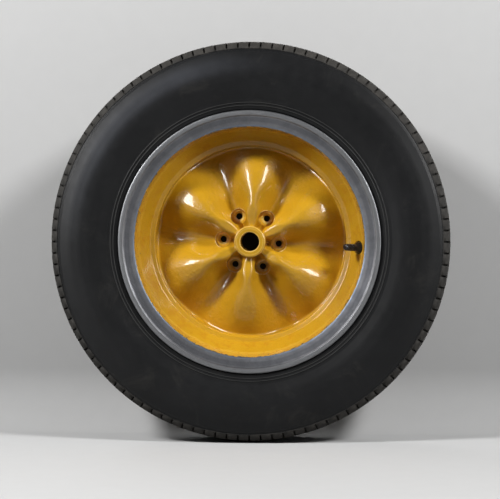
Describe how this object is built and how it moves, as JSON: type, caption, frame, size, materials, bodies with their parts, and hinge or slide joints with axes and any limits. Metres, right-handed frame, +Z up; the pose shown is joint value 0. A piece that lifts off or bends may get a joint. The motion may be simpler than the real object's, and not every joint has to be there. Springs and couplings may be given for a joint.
{
  "type": "racing car wheel",
  "caption": "Cast racing wheel with an undulating web, coned stud seats and a centre bore, carrying a slotted-shoulder tyre with its inner tube and a capped air valve",
  "frame": {"origin": "the wheel's centre: on the spin axis, in the middle plane of the tyre", "axes": "+Y along the spin axis towards the car (outboard face towards -Y), +Z up with the wheel standing upright, +X to the right as seen from outboard"},
  "size_m": [0.637, 0.135, 0.637],
  "materials": {
    "painted_casting": "gloss golden yellow paint over a cast surface, bare turned metal on the outboard flange",
    "tyre_rubber": "old tyre rubber, smooth satin sidewall, duller tread",
    "tube_rubber": "soft matt rubber",
    "valve_rubber": "satin moulded rubber",
    "brass": "turned brass",
    "gasket": "matt red sealing plastic",
    "steel": "plated steel wire and pin",
    "seal_rubber": "matt rubber",
    "cap_plastic": "black moulded plastic with a ribbed grip"
  },
  "bodies": {
    "wheel": {"wheel_casting": "painted_casting", "tyre": "tyre_rubber", "inner_tube": "tube_rubber", "valve_stem_cover": "valve_rubber", "valve_stem": "brass", "core_barrel": "brass", "core_gasket": "gasket", "core_plug": "brass", "core_spring": "steel"},
    "pin": {"core_pin": "steel", "core_pin_seal": "seal_rubber"},
    "cap_washer": {"cap_seal": "seal_rubber"},
    "cap": {"valve_cap": "cap_plastic"}
  },
  "joints": [
    {"name": "pin_press", "type": "slide", "parent": "wheel", "child": "pin", "axis": [0.776, 0.6293, -0.042], "range_m": [0, 0.0013], "stiffness_N_per_m": 500, "springref_m": -0.003, "deforming": ["core_spring"]},
    {"name": "cap_lift", "type": "slide", "parent": "wheel", "child": "cap_washer", "axis": [-0.776, -0.6293, 0.042], "range_m": [0, 0.00556]},
    {"name": "cap_turn", "type": "hinge", "parent": "cap_washer", "child": "cap", "pos_m": [0.17175, -0.03247, -0.0093], "axis": [-0.776, -0.6293, 0.042], "range_deg": [0, 2520]}
  ],
  "couplings": [
    {"joint": "cap_turn", "follows": "cap_lift", "rad_per_m": 7915.8}
  ]
}
